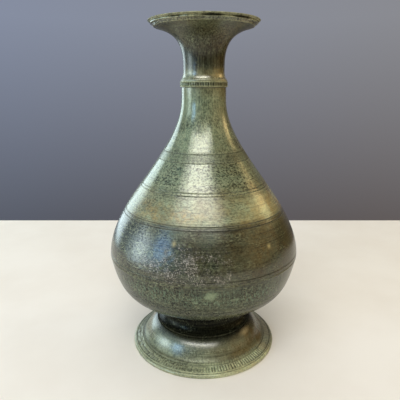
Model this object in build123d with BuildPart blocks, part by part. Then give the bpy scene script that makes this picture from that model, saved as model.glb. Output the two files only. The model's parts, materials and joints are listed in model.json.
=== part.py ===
from build123d import *
import os
from math import atan2, degrees, hypot, pi

# A pear-bodied bronze bottle: flared mouth, notched collar on the neck, spreading foot.
# It is made of turned sections that lap into one another and are soldered.
# Millimetres, +Z up, origin at the centre of the circle that the foot rests on.

# Walls and solder
body_wall = 2.2  # shoulder and bowl
mouth_wall = 2.2  # trumpet mouth
foot_wall = 2.2  # stem and dome
solder_gap = 0.2  # thickness of the solder in each lap
solder_bead = 1.2  # leg of the fillet left in an inside corner
seam_recess = 0.4  # the solder stops this far inside an open seam

# Foot edge ring
edge_height = 4.6  # ledge that the dome's skirt stands on
edge_width = 9.8  # from the dome's seat out to the foot's edge
edge_ledge = 3.2  # width of the ledge under the skirt
edge_bead_height = 4.0
edge_bead_bulge = 2.0
foot_wire = 1.1  # plain wires each side of the notched band
band_rise = 2.0  # the notched band climbs this much towards the dome
foot_notch_pitch = 2.6
foot_notch_width = 1.3

# Foot dome
dome_height = 20.0
dome_skirt = 3.6  # upright part of the dome above its seat
dome_spread = 14.8  # from the stem's flange out to the skirt
dome_land = 0.8  # flat step left outside the stem's flange

# Foot stem
stem_height = 26.3
stem_foot_radius = 45.2
stem_flange_width = 5.5
stem_edge = 1.4  # upright edge of the flange
stem_waist_pull = 2.0  # the waist's curve is drawn in this far from the top radius
stem_top_radius = 39.5

# Bowl
bowl_height = 44.5
bowl_land = 1.5  # flat base left outside the stem
belly_radius = 88.0
bowl_lean = 0.19  # inward slope of the bowl's side where it leaves the belly seam
lap_height = 5.0  # overlap of the bowl's tongue and the shoulder

# Shoulder and lower neck
shoulder_height = 139.1
neck_radius = 19.8
neck_length = 12.9  # straight neck up to the joint under the collar

# Mouth
spigot_length = 6.0
waist_inset = 1.7  # the neck draws in this far above the collar
waist_height = 15.1
flare_height = 31.3
flare_spread = 24.9  # from the waist out to the lip
flare_lean = 0.25  # the flare still climbs at this slope where it meets the lip
lip_height = 3.2
lip_spread = 2.2  # the lip's face leans out this far on its way up
lip_round = 0.6
cove_height = 7.8  # hollow curve from the neck out to the collar
cove_proud = 0.4  # the cove's foot stands this far outside the lower neck

# Neck collar
collar_height = 4.8
collar_proud = 1.2  # stands this far out of the neck
collar_seat_depth = 0.5
collar_clearance = 0.1
collar_wire = 1.3
collar_notch_pitch = 2.2
collar_notch_width = 1.3
collar_band_inset = 0.2  # the notched band lies this far inside the wires

# Rim plate
rim_thickness = 1.8
rim_width = 7.2
rim_overhang = 2.5  # beyond the lip
rim_undercut = 1.4  # the edge slopes in towards the seam
rim_dish = 0.5  # the top falls this much towards the throat
rim_round = 0.5

# Incised lines, as heights from the belly seam
line_width = 0.7
line_depth = 0.35
shoulder_lines = (4.0, 41.3, 44.2, 65.0, 67.1, 88.6, 95.5)
bowl_lines = (22.6, 26.5)

# Shape of the curves: how far each end's tangent reaches, as a share of that curve's own run
bowl_base_reach = 0.68
bowl_side_reach = 0.74
shoulder_reach = 0.33
neck_reach = 0.32
cove_reach = 0.3
flare_rise_reach = 0.68
flare_lip_reach = 0.64
dome_crown_reach = 0.647  # outward, and the droop is downward
dome_crown_droop = 0.419
dome_flare_reach = 0.467  # inward, and the rise is upward
dome_flare_rise = 0.35
stem_foot_reach = 0.08
stem_top_reach = 0.45

# Heights that follow
dome_base_z = edge_height + solder_gap
dome_top_z = dome_base_z + dome_height
stem_base_z = dome_top_z + solder_gap
stem_top_z = stem_base_z + stem_height
bowl_base_z = stem_top_z + solder_gap
seam_z = bowl_base_z + bowl_height
shoulder_base_z = seam_z + solder_gap
shoulder_top_z = shoulder_base_z + shoulder_height
neck_top_z = shoulder_top_z + neck_length
mouth_base_z = neck_top_z + solder_gap
waist_z = mouth_base_z + waist_height
lip_base_z = waist_z + flare_height
lip_top_z = lip_base_z + lip_height
rim_base_z = lip_top_z + solder_gap
rim_top_z = rim_base_z + rim_thickness
collar_mid_z = (neck_top_z + mouth_base_z) / 2
collar_base_z = collar_mid_z - collar_height / 2
collar_top_z = collar_mid_z + collar_height / 2

# Radii that follow
dome_start_radius = stem_foot_radius + dome_land
dome_radius = stem_foot_radius + dome_spread
dome_hole_radius = stem_foot_radius - stem_flange_width
edge_seat_radius = dome_radius + solder_gap
edge_inner_radius = dome_radius - edge_ledge
foot_radius = edge_seat_radius + edge_width
stem_bore_radius = stem_top_radius - foot_wall
bowl_base_radius = stem_top_radius + bowl_land
tongue_radius = belly_radius - (body_wall + solder_gap) / 2
tongue_top_z = seam_z + lap_height
neck_bore_radius = neck_radius - body_wall
collar_seat_radius = neck_radius - collar_seat_depth
collar_radius = neck_radius + collar_proud
spigot_radius = neck_bore_radius - solder_gap
spigot_base_z = mouth_base_z - spigot_length
waist_radius = neck_radius - waist_inset
mouth_bore_radius = waist_radius - mouth_wall
flare_radius = waist_radius + flare_spread
lip_radius = flare_radius + lip_spread
rim_radius = lip_radius + rim_overhang
rim_inner_radius = rim_radius - rim_width

wall_points = 9  # points that a wall's inner curve is drawn through


def inner_wall(curve, wall):
    """Points one wall thickness inside a curve that is drawn upwards."""
    points = []
    for i in range(wall_points):
        share = i / (wall_points - 1)
        along = curve % share
        points.append(curve @ share + Vector(-along.Y, along.X) * wall)
    return points


def share_at_height(curve, height):
    """Where along a rising curve a height is reached."""
    low, high = 0.0, 1.0
    for _ in range(40):
        middle = (low + high) / 2
        if (curve @ middle).Y < height:
            low = middle
        else:
            high = middle
    return (low + high) / 2


def incised_line(curve, height):
    """Corners of the V that a graver leaves in a curve at a height."""
    share = share_at_height(curve, height)
    along = curve % share
    outward = Vector(along.Y, -along.X)
    lifted = curve @ share + outward * line_depth
    return [
        lifted + along * line_width,
        lifted - along * line_width,
        curve @ share - outward * line_depth,
    ]


def notch_count(radius, pitch):
    """How many notches of a pitch go round a circle."""
    return round(2 * pi * radius / pitch)


# Foot edge ring: rounded edge, two plain wires and a sloping notched band
band_outer_radius = foot_radius - edge_bead_bulge - foot_wire
band_inner_radius = edge_seat_radius + foot_wire
band_low_z = edge_bead_height + foot_wire
band_high_z = band_low_z + band_rise
band_middle_radius = (band_outer_radius + band_inner_radius) / 2
band_middle_z = (band_low_z + band_high_z) / 2
band_run = band_outer_radius - band_inner_radius
band_length = hypot(band_run, band_rise)
band_tilt = degrees(atan2(band_rise, band_run))
with BuildPart() as foot_edge_ring:
    with BuildSketch(Plane.XZ):
        with BuildLine():
            edge_foot = (foot_radius - edge_bead_bulge, 0)
            edge_top = (foot_radius - edge_bead_bulge, edge_bead_height)
            ThreePointArc(edge_foot, (foot_radius, edge_bead_height / 2), edge_top)
            Polyline(
                edge_top,
                (band_outer_radius, band_low_z),
                (band_inner_radius, band_high_z),
                (edge_seat_radius, band_high_z),
                (edge_seat_radius, edge_height),
                (edge_inner_radius, edge_height),
                (edge_inner_radius, 0),
                edge_foot,
            )
        make_face()
        lower_wire = ((edge_top[0] + band_outer_radius) / 2, (edge_top[1] + band_low_z) / 2)
        upper_wire = (edge_seat_radius + foot_wire / 2, band_high_z)
        with Locations(lower_wire, upper_wire):
            Circle(foot_wire / 2)
    revolve(axis=Axis.Z)
    band_place = Location((band_middle_radius, 0, band_middle_z), (0, band_tilt, 0))
    notch_side = foot_notch_width / 2**0.5
    with PolarLocations(0, notch_count(band_middle_radius, foot_notch_pitch)):
        with Locations(band_place):
            Box(band_length, notch_side, notch_side, rotation=(45, 0, 0), mode=Mode.SUBTRACT)

# Foot dome: thin bell with a flat top for the stem's flange
dome_edge_z = dome_base_z + dome_skirt
dome_run = dome_radius - dome_start_radius
dome_drop = dome_top_z - dome_edge_z
with BuildPart() as foot_dome:
    with BuildSketch(Plane.XZ):
        with BuildLine():
            dome_curve = Bezier(
                (dome_radius, dome_edge_z),
                (dome_radius - dome_flare_reach * dome_run, dome_edge_z + dome_flare_rise * dome_drop),
                (dome_start_radius + dome_crown_reach * dome_run, dome_top_z - dome_crown_droop * dome_drop),
                (dome_start_radius, dome_top_z),
            )
            dome_inside = Spline(*inner_wall(dome_curve, foot_wall))
            Polyline(
                dome_inside @ 0,
                ((dome_inside @ 0).X, dome_base_z),
                (dome_radius, dome_base_z),
                dome_curve @ 0,
            )
            Polyline(
                dome_curve @ 1,
                (dome_hole_radius, dome_top_z),
                (dome_hole_radius, dome_top_z - foot_wall),
                dome_inside @ 1,
            )
        make_face()
    revolve(axis=Axis.Z)

# Foot stem: hollow waisted tube, open below, with a flange on the dome
stem_edge_z = stem_base_z + stem_edge
stem_waist_radius = stem_top_radius - stem_waist_pull
stem_rise = stem_top_z - stem_edge_z
with BuildPart() as foot_stem:
    with BuildSketch(Plane.XZ):
        with BuildLine():
            stem_curve = Bezier(
                (stem_foot_radius, stem_edge_z),
                (stem_waist_radius, stem_edge_z + stem_foot_reach * stem_rise),
                (stem_waist_radius, stem_top_z - stem_top_reach * stem_rise),
                (stem_top_radius, stem_top_z),
            )
            stem_inside = Bezier(
                (dome_hole_radius, stem_base_z),
                (stem_waist_radius - foot_wall, stem_base_z + stem_foot_reach * stem_height),
                (stem_waist_radius - foot_wall, stem_top_z - stem_top_reach * stem_height),
                (stem_bore_radius, stem_top_z),
            )
            Line(stem_curve @ 1, stem_inside @ 1)
            Polyline(stem_inside @ 0, (stem_foot_radius, stem_base_z), stem_curve @ 0)
        make_face()
    revolve(axis=Axis.Z)

# Bowl: flat base on the stem, full side, and a tongue that enters the shoulder
with BuildPart() as bowl_shell:
    with BuildSketch(Plane.XZ):
        with BuildLine():
            bowl_side = bowl_side_reach * bowl_height
            bowl_curve = Bezier(
                (bowl_base_radius, bowl_base_z),
                (bowl_base_radius + bowl_base_reach * (belly_radius - bowl_base_radius), bowl_base_z),
                (belly_radius - bowl_lean * bowl_side, seam_z - bowl_side),
                (belly_radius, seam_z),
            )
            bowl_inside = Spline(*inner_wall(bowl_curve, body_wall))
            Polyline(
                bowl_curve @ 1,
                (tongue_radius, seam_z),
                (tongue_radius, tongue_top_z),
                ((bowl_inside @ 1).X, tongue_top_z),
                bowl_inside @ 1,
            )
            Polyline(
                bowl_inside @ 0,
                (0, bowl_base_z + body_wall),
                (0, bowl_base_z),
                bowl_curve @ 0,
            )
        make_face()
    revolve(axis=Axis.Z)
    with BuildSketch(Plane.XZ):
        for depth in bowl_lines:
            with BuildLine():
                Polyline(*incised_line(bowl_curve, seam_z - depth), close=True)
            make_face()
    revolve(axis=Axis.Z, mode=Mode.SUBTRACT)

# Shoulder: S-curved shell from the belly seam to the neck joint
with BuildPart() as shoulder_shell:
    with BuildSketch(Plane.XZ):
        with BuildLine():
            shoulder_curve = Bezier(
                (belly_radius, shoulder_base_z),
                (belly_radius, shoulder_base_z + shoulder_reach * shoulder_height),
                (neck_radius, shoulder_top_z - neck_reach * shoulder_height),
                (neck_radius, shoulder_top_z),
            )
            shoulder_inside = Spline(*inner_wall(shoulder_curve, body_wall))
            Line(shoulder_curve @ 0, shoulder_inside @ 0)
            Polyline(
                shoulder_curve @ 1,
                (neck_radius, collar_base_z),
                (collar_seat_radius, collar_base_z),
                (collar_seat_radius, neck_top_z),
                (neck_bore_radius, neck_top_z),
                shoulder_inside @ 1,
            )
        make_face()
    revolve(axis=Axis.Z)
    with Locations((0, 0, seam_z)):
        Cylinder(
            tongue_radius + solder_gap,
            lap_height + solder_gap,
            align=(Align.CENTER, Align.CENTER, Align.MIN),
            mode=Mode.SUBTRACT,
        )
    with BuildSketch(Plane.XZ):
        for height in shoulder_lines:
            with BuildLine():
                Polyline(*incised_line(shoulder_curve, seam_z + height), close=True)
            make_face()
    revolve(axis=Axis.Z, mode=Mode.SUBTRACT)

# Mouth: spigot, waisted neck and trumpet with a leaning lip that carries the rim plate
flare_reach = flare_lip_reach * flare_spread
cove_radius = neck_radius + cove_proud
cove_top_z = collar_top_z + cove_height
with BuildPart() as mouth_trumpet:
    with BuildSketch(Plane.XZ):
        with BuildLine():
            flare_curve = Bezier(
                (waist_radius, waist_z),
                (waist_radius, waist_z + flare_rise_reach * flare_height),
                (flare_radius - flare_reach, lip_base_z - flare_lean * flare_reach),
                (flare_radius, lip_base_z),
            )
            flare_inside = Spline(*inner_wall(flare_curve, mouth_wall))
            Polyline(
                flare_curve @ 1,
                (lip_radius, lip_top_z - lip_round),
                (lip_radius - lip_round, lip_top_z),
                ((flare_inside @ 1).X, lip_top_z),
                flare_inside @ 1,
            )
            Bezier(
                (cove_radius, collar_top_z),
                (waist_radius, collar_top_z + cove_reach * cove_height),
                (waist_radius, cove_top_z),
            )
            Line((waist_radius, cove_top_z), (waist_radius, waist_z))
            Polyline(
                flare_inside @ 0,
                (mouth_bore_radius, spigot_base_z),
                (spigot_radius, spigot_base_z),
                (spigot_radius, mouth_base_z),
                (collar_seat_radius, mouth_base_z),
                (collar_seat_radius, collar_top_z),
                (cove_radius, collar_top_z),
            )
        make_face()
    revolve(axis=Axis.Z)

# Neck collar: notched band between two plain wires, trapped in the seat over the joint
collar_bore_radius = collar_seat_radius + collar_clearance
collar_band_radius = collar_radius - collar_band_inset
collar_band_height = collar_height - 2 * collar_wire
collar_core_radius = collar_radius - collar_wire / 2
wire_offset = (collar_height - collar_wire) / 2
with BuildPart() as neck_collar:
    with BuildSketch(Plane.XZ):
        with Locations(((collar_bore_radius + collar_core_radius) / 2, collar_mid_z)):
            Rectangle(collar_core_radius - collar_bore_radius, collar_height)
        with Locations(((collar_bore_radius + collar_band_radius) / 2, collar_mid_z)):
            Rectangle(collar_band_radius - collar_bore_radius, collar_band_height)
        with Locations(
            (collar_core_radius, collar_mid_z - wire_offset),
            (collar_core_radius, collar_mid_z + wire_offset),
        ):
            Circle(collar_wire / 2)
    revolve(axis=Axis.Z)
    collar_notch_side = collar_notch_width / 2**0.5
    with Locations((0, 0, collar_mid_z)):
        with PolarLocations(collar_band_radius, notch_count(collar_band_radius, collar_notch_pitch)):
            Box(
                collar_notch_side,
                collar_notch_side,
                collar_band_height,
                rotation=(0, 0, 45),
                mode=Mode.SUBTRACT,
            )

# Rim plate: flat ring with a sharp upper edge, sloping in to the open seam
with BuildPart() as rim_plate:
    with BuildSketch(Plane.XZ):
        with BuildLine():
            Polyline(
                (rim_inner_radius, rim_base_z),
                (rim_radius - rim_undercut, rim_base_z),
                (rim_radius, rim_top_z - rim_round),
                (rim_radius - rim_round, rim_top_z),
                (rim_inner_radius, rim_top_z - rim_dish),
                close=True,
            )
        make_face()
    revolve(axis=Axis.Z)

# Solder between the dome's skirt and the edge ring
with BuildPart() as edge_solder:
    with BuildSketch(Plane.XZ):
        with BuildLine():
            Polyline(
                ((dome_inside @ 0).X, edge_height),
                (edge_seat_radius, edge_height),
                (edge_seat_radius, band_high_z - seam_recess),
                (dome_radius, band_high_z - seam_recess),
                (dome_radius, dome_base_z),
                ((dome_inside @ 0).X, dome_base_z),
                close=True,
            )
        make_face()
    revolve(axis=Axis.Z)

# Solder between the stem's flange and the dome
with BuildPart() as stem_solder:
    with BuildSketch(Plane.XZ):
        with BuildLine():
            Polyline(
                (dome_hole_radius, dome_top_z),
                (stem_foot_radius - seam_recess, dome_top_z),
                (stem_foot_radius - seam_recess, stem_base_z),
                (dome_hole_radius, stem_base_z),
                close=True,
            )
        make_face()
    revolve(axis=Axis.Z)

# Solder between the bowl's base and the stem, with a fillet inside the stem
with BuildPart() as bowl_solder:
    with BuildSketch(Plane.XZ):
        with BuildLine():
            Polyline(
                (stem_bore_radius - solder_bead, bowl_base_z),
                (stem_bore_radius, stem_top_z - solder_bead),
                (stem_bore_radius, stem_top_z),
                (stem_top_radius - seam_recess, stem_top_z),
                (stem_top_radius - seam_recess, bowl_base_z),
                close=True,
            )
        make_face()
    revolve(axis=Axis.Z)
    add(foot_stem.part, mode=Mode.SUBTRACT)

# Solder in the lap at the belly
with BuildPart() as belly_solder:
    with BuildSketch(Plane.XZ):
        with BuildLine():
            Polyline(
                (belly_radius - seam_recess, seam_z),
                (belly_radius - seam_recess, shoulder_base_z),
                (tongue_radius + solder_gap, shoulder_base_z),
                (tongue_radius + solder_gap, tongue_top_z + solder_gap),
                ((bowl_inside @ 1).X, tongue_top_z + solder_gap),
                ((bowl_inside @ 1).X, tongue_top_z),
                (tongue_radius, tongue_top_z),
                (tongue_radius, seam_z),
                close=True,
            )
        make_face()
    revolve(axis=Axis.Z)

# Solder round the spigot, with a fillet under its end
with BuildPart() as neck_solder:
    with BuildSketch(Plane.XZ):
        with BuildLine():
            Polyline(
                (collar_seat_radius, neck_top_z),
                (collar_seat_radius, mouth_base_z),
                (spigot_radius, mouth_base_z),
                (spigot_radius, spigot_base_z),
                (spigot_radius - solder_bead, spigot_base_z),
                (neck_bore_radius, spigot_base_z - solder_bead),
                (neck_bore_radius, neck_top_z),
                close=True,
            )
        make_face()
    revolve(axis=Axis.Z)
    add(shoulder_shell.part, mode=Mode.SUBTRACT)

# Solder between the lip and the rim plate, with a fillet inside the lip
lip_bore_radius = (flare_inside @ 1).X
solder_end_radius = lip_radius - lip_round - seam_recess
with BuildPart() as rim_solder:
    with BuildSketch(Plane.XZ):
        with BuildLine():
            Polyline(
                (lip_bore_radius - solder_bead, rim_base_z),
                (lip_bore_radius, lip_top_z - solder_bead),
                (lip_bore_radius, lip_top_z),
                (solder_end_radius, lip_top_z),
                (solder_end_radius, rim_base_z),
                close=True,
            )
        make_face()
    revolve(axis=Axis.Z)
    add(mouth_trumpet.part, mode=Mode.SUBTRACT)

pieces = {
    "rim_plate": rim_plate,
    "mouth_trumpet": mouth_trumpet,
    "neck_collar": neck_collar,
    "shoulder_shell": shoulder_shell,
    "bowl_shell": bowl_shell,
    "foot_stem": foot_stem,
    "foot_dome": foot_dome,
    "foot_edge_ring": foot_edge_ring,
    "rim_solder": rim_solder,
    "neck_solder": neck_solder,
    "belly_solder": belly_solder,
    "bowl_solder": bowl_solder,
    "stem_solder": stem_solder,
    "edge_solder": edge_solder,
}

os.makedirs("parts", exist_ok=True)
for name, piece in pieces.items():
    piece.part.label = name
    export_step(piece.part, f"parts/{name}.step")

print(f"height {rim_top_z:.2f}, belly {2 * belly_radius:.1f}, foot {2 * foot_radius:.1f}")
print(f"rim {2 * rim_radius:.1f}, mouth bore radius {mouth_bore_radius:.2f}")
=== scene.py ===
# %% [markdown]
# A bronze bottle, dressed over its turned solids
#
# The real bottle is eight metal sections, turned, lapped into one another and soldered. The
# solids already have its true shape and size. They could be modelled again in Blender, but then
# two shapes would have to agree. So this lesson loads the solids as a fixed frame, keeps their
# box, and lays everything that follows over them in the same metres.

# %% Load the turned solids
import json
import math
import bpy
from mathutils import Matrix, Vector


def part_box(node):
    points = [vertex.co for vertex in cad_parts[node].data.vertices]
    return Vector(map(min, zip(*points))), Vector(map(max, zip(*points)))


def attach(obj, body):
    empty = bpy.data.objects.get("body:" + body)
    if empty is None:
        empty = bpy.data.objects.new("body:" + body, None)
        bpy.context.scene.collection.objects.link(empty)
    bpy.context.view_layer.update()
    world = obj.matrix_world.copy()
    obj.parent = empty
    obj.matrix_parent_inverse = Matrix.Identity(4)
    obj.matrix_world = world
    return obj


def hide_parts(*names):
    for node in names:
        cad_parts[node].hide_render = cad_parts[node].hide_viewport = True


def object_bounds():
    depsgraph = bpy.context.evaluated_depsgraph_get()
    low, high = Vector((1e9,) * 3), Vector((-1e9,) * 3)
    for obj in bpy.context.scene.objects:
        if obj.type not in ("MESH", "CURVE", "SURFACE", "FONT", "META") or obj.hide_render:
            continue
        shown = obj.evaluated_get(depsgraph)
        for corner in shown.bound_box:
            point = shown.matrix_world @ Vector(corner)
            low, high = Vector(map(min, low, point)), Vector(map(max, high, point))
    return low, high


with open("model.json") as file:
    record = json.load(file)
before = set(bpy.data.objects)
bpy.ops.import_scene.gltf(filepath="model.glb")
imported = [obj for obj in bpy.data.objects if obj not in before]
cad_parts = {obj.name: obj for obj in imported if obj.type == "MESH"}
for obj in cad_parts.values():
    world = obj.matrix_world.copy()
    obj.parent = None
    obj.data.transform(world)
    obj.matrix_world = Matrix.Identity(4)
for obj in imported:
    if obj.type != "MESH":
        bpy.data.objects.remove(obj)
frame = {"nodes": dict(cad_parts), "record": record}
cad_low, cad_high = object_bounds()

from types import SimpleNamespace

import bmesh
import bpy
import numpy as np
from mathutils import Euler, Vector

print("solids:", len(frame["nodes"]), "height in mm:", round(1000 * (cad_high.z - cad_low.z), 1))

# %% [markdown]
# The camera
#
# The ellipses of the rim, the collar, the cut lines and the foot say where the picture was taken
# from: close to the bottle, a little below the mouth, looking down by fifteen degrees. A camera
# could be aimed by eye, but a close lens changes the shape of a round thing, so it is set from
# the worked-out numbers.

# %% Camera at the picture's place
picture_side = 400
focal_pixels = 420
sensor_mm = 36
look_down = math.radians(15.011)
eye = Vector((-0.00335, -0.38201, 0.24555))

camera_data = bpy.data.cameras.new("camera")
camera_data.sensor_width = sensor_mm
camera_data.lens = sensor_mm * focal_pixels / picture_side
camera = bpy.data.objects.new("camera", camera_data)
camera.location = eye
camera.rotation_euler = (math.pi / 2 - look_down, 0, 0)
bpy.context.scene.collection.objects.link(camera)
bpy.context.scene.camera = camera
bpy.context.scene.view_settings.view_transform = "Standard"
print("lens in mm:", round(camera_data.lens, 2))

# %% [markdown]
# From the picture to the metal
#
# Spots and stains are noted where they show in the picture. An empty could be dragged to each
# place by hand, but a ray sent from the camera through the pixel finds the metal without any
# guess at how far away it is.

# %% Find the metal under a pixel
cone_pixel = (204, 150)


def seen_at(column, row):
    """The point of the bottle that the camera sees at a pixel of the picture."""
    half = picture_side / 2
    ray = Vector(((column - half) / focal_pixels, (half - row) / focal_pixels, -1))
    ray.rotate(Euler(camera.rotation_euler))
    ray.normalize()
    hits = [node.ray_cast(eye, ray) for node in frame["nodes"].values()]
    places = [place for hit, place, _, _ in hits if hit]
    return min(places, key=lambda place: (place - eye).length)


print("middle of the cone:", [round(1000 * v, 1) for v in seen_at(*cone_pixel)])

# %% [markdown]
# Colours
#
# Colours are easier to think about as they look on a screen, from 0 to 255. They could be typed
# in as Blender's own numbers, but Blender mixes light, so each one is turned here into the amount
# of light that it stands for.


# %% Screen colour to light
def shade(red, green, blue):
    """A screen colour as Blender's linear colour with full opacity."""
    parts = [v / 255 for v in (red, green, blue)]
    light = [v / 12.92 if v <= 0.04045 else ((v + 0.055) / 1.055) ** 2.4 for v in parts]
    return (*light, 1.0)


print("mid grey is", round(shade(128, 128, 128)[0], 3))

# %% [markdown]
# Finishes in layers
#
# A patina is a stack of thin layers: mineral, stains, dirt and wax. In the shader editor each
# layer is a few nodes wired by hand. Wired in code they read like a recipe, and the same helpers
# serve the floor, the background and every metal.


# %% Nodes that are laid over one another
class Layers:
    """A node tree that is built up in layers."""

    def __init__(self, tree):
        self.nodes = tree.nodes
        self.links = tree.links

    def add(self, kind, sockets=None, **settings):
        """A new node, with its settings and what goes into its sockets."""
        node = self.nodes.new("ShaderNode" + kind)
        for key, value in settings.items():
            setattr(node, key, value)
        for key, value in (sockets or {}).items():
            self.feed(node.inputs[key], value)
        return node

    def feed(self, socket, value):
        """Puts a number, a colour or another node's output into a socket."""
        if isinstance(value, bpy.types.NodeSocket):
            self.links.new(value, socket)
        else:
            socket.default_value = value

    def between(self, value, low, high):
        """Soft step: none at low, full at high."""
        sockets = {0: value, 1: low, 2: high}
        return self.add("MapRange", sockets, interpolation_type="SMOOTHSTEP").outputs[0]

    def sum(self, first, second):
        """Two numbers added."""
        return self.add("Math", {0: first, 1: second}, operation="ADD").outputs[0]

    def times(self, first, second):
        """Two numbers multiplied."""
        return self.add("Math", {0: first, 1: second}, operation="MULTIPLY").outputs[0]

    def blend(self, share, first, second):
        """One number fading into another by a share."""
        return self.add("Mix", {0: share, 2: first, 3: second}).outputs[0]

    def over(self, share, under, top):
        """A colour laid over another by a share."""
        return self.add("Mix", {0: share, 6: under, 7: top}, data_type="RGBA").outputs[2]

    def glaze(self, under, share, strength, top):
        """A colour laid thinly over another, full share giving this strength."""
        return self.over(self.times(share, strength), under, top)


print("layer helpers:", [name for name in vars(Layers) if not name.startswith("_")])


# %% A finish for a surface
class Finish(Layers):
    """A material whose layers are noise and what was painted on the mesh."""

    def __init__(self, name):
        self.material = bpy.data.materials.new(name)
        self.material.use_nodes = True
        super().__init__(self.material.node_tree)
        self.shader = self.nodes["Principled BSDF"]
        self.place = self.add("TexCoord").outputs["Object"]

    def set(self, name, value):
        """Puts a value or a layer into one of the shader's own sockets."""
        self.feed(self.shader.inputs[name], value)

    def grain(self, scale, detail=4.0, roughness=0.55, stretch=(1, 1, 1), shift=0.0):
        """Cloudy noise with this many features to the metre."""
        moved = self.add("Mapping", {0: self.place, 1: (shift, shift, shift), 3: stretch})
        values = {"Vector": moved.outputs[0], "Scale": scale, "Detail": detail, "Roughness": roughness}
        return self.add("TexNoise", values).outputs[0]

    def patches(self, low, high, *grain, **more_grain):
        """Noise cut into soft patches between two of its levels."""
        return self.between(self.grain(*grain, **more_grain), low, high)

    def painted(self, name):
        """What was painted on the mesh's points under this name."""
        return self.add("Attribute", attribute_name=name).outputs["Fac"]


print("finish helpers:", [name for name in vars(Finish) if not name.startswith("_")])

# %% [markdown]
# Floor
#
# The bottle stands on something pale, which throws light up under its belly. A studio sweep that
# curves up at the back would close off the views from behind, so the floor is one flat sheet that
# ends a little way behind the bottle.

# %% Pale floor
floor_front, floor_back, floor_side = -1.5, 0.383, 1.3
floor_mesh = bpy.data.meshes.new("floor")
corners = [
    (-floor_side, floor_front, 0),
    (floor_side, floor_front, 0),
    (floor_side, floor_back, 0),
    (-floor_side, floor_back, 0),
]
floor_mesh.from_pydata(corners, [], [(0, 1, 2, 3)])
floor = bpy.data.objects.new("floor", floor_mesh)
bpy.context.scene.collection.objects.link(floor)

pale = Finish("pale_floor")
cloud = pale.patches(0.3, 0.7, 9)
pale.set("Base Color", pale.over(cloud, shade(233, 226, 215), shade(238, 232, 222)))
pale.set("Roughness", 0.8)
pale.set("Specular IOR Level", 0.15)
floor_mesh.materials.append(pale.material)
print("floor ends", floor_back, "m behind the axis")

# %% [markdown]
# Background
#
# Behind the bottle is a plain slate blue that darkens downwards. An upright sheet could carry it,
# but it would stand in the way of views from behind, so it is a colour of the world that changes
# slowly with the direction of sight.

# %% Slate that the camera sees
world = bpy.data.worlds.new("room")
bpy.context.scene.world = world
world.use_nodes = True
room = Layers(world.node_tree)
room.nodes.clear()
toward = room.add("TexCoord").outputs["Generated"]
split = room.add("SeparateXYZ", {0: toward})


def turning(axis, start, end):
    """From 0 to 1 as a direction turns along an axis."""
    return room.add("MapRange", {0: split.outputs[axis], 1: start, 2: end}).outputs[0]


across = turning("X", -0.40, 0.40)
low_slate = room.over(across, shade(88, 92, 103), shade(95, 89, 88))
high_slate = room.over(across, shade(134, 142, 161), shade(138, 139, 145))
slate = room.over(turning("Z", -0.29, 0.14), low_slate, high_slate)
print("slate nodes:", len(room.nodes))

# %% [markdown]
# What the metal mirrors
#
# Waxed metal mirrors whatever is round it, and a single colour would leave it lifeless. A picture
# of real surroundings would be too busy for a rubbed skin. A few soft bands of colour do: pale
# blue at the left, dark in front, brown at the right, and one soft bright place low at the left.

# %% Soft bands of colour for shiny metal
bright_way = Vector((-0.99, -0.10, 0.09)).normalized()
bright_edge, bright_core = math.cos(math.radians(25)), math.cos(math.radians(9))
bright_colour = (1.90, 2.50, 2.75, 1)

brown_side = room.over(turning("X", 0.46, 0.80), slate, shade(112, 90, 46))
behind = room.over(turning("X", -0.46, -0.80), brown_side, shade(165, 188, 196))
dark_front = room.over(turning("X", -0.75, -0.15), shade(160, 200, 216), shade(40, 40, 34))
in_front = room.over(turning("X", 0.15, 0.75), dark_front, shade(118, 96, 46))
around = room.over(turning("Y", 0.2, -0.4), behind, in_front)
nearness = room.add("VectorMath", {0: toward, 1: bright_way}, operation="DOT_PRODUCT")
glow = room.between(nearness.outputs["Value"], bright_edge, bright_core)
mirrored = room.over(glow, around, bright_colour)
print("nodes with the bands:", len(room.nodes))

# %% [markdown]
# Who sees which background
#
# The camera sees the slate, shiny metal sees the bands of colour, and dull surfaces get a plain
# grey light. One background could serve all three, but then the slate would tint the floor. The
# Light Path node tells them apart.

# %% Choose a background for each kind of ray
ambient_colour = (0.30, 0.31, 0.31, 1)
paths = room.add("LightPath")
to_camera = paths.outputs["Is Camera Ray"]
seen = room.add("Background", {"Color": room.over(to_camera, mirrored, slate)})
ambient = room.add("Background", {"Color": ambient_colour})
shown = to_camera
for extra in ("Is Glossy Ray", "Is Transmission Ray"):
    shown = room.add("Math", {0: shown, 1: paths.outputs[extra]}, operation="MAXIMUM").outputs[0]
choose = room.add("MixShader", {0: shown, 1: ambient.outputs[0], 2: seen.outputs[0]})
room.add("OutputWorld", {0: choose.outputs[0]})
print("background nodes:", len(room.nodes))

# %% [markdown]
# Soft lights
#
# Waxed patina shows where its lights are, so each is placed for the mark that it leaves. Three
# overlapping boxes above the camera make one key light that fades at its edges, for the pale
# streak on the cone and the bright band on the shoulder. Cool boxes line the left edge and put
# bluish glints on the belly. A small gold box and a wide warm one colour the right side. One fill
# comes from above and behind, and one from the front, which the metal does not mirror. A single
# lit picture of surroundings could do all this, but boxes can be tuned one by one.

# %% Soft boxes round the bottle
aim = Vector((0, 0, 0.15))


def soft_box(name, around, above, away, size, watts, colour):
    """A soft light aimed at the belly. Angles are from the camera's side and the horizon."""
    turn, lift = math.radians(around), math.radians(above)
    out = Vector((math.sin(turn) * math.cos(lift), -math.cos(turn) * math.cos(lift), math.sin(lift)))
    lamp = bpy.data.lights.new(name, "AREA")
    lamp.shape = "RECTANGLE"
    lamp.size, lamp.size_y = size
    lamp.energy = watts
    lamp.color = colour
    box = bpy.data.objects.new(name, lamp)
    box.location = aim + out * away
    box.rotation_euler = out.to_track_quat("Z", "Y").to_euler()
    box.visible_camera = False
    bpy.context.scene.collection.objects.link(box)
    return box


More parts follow.
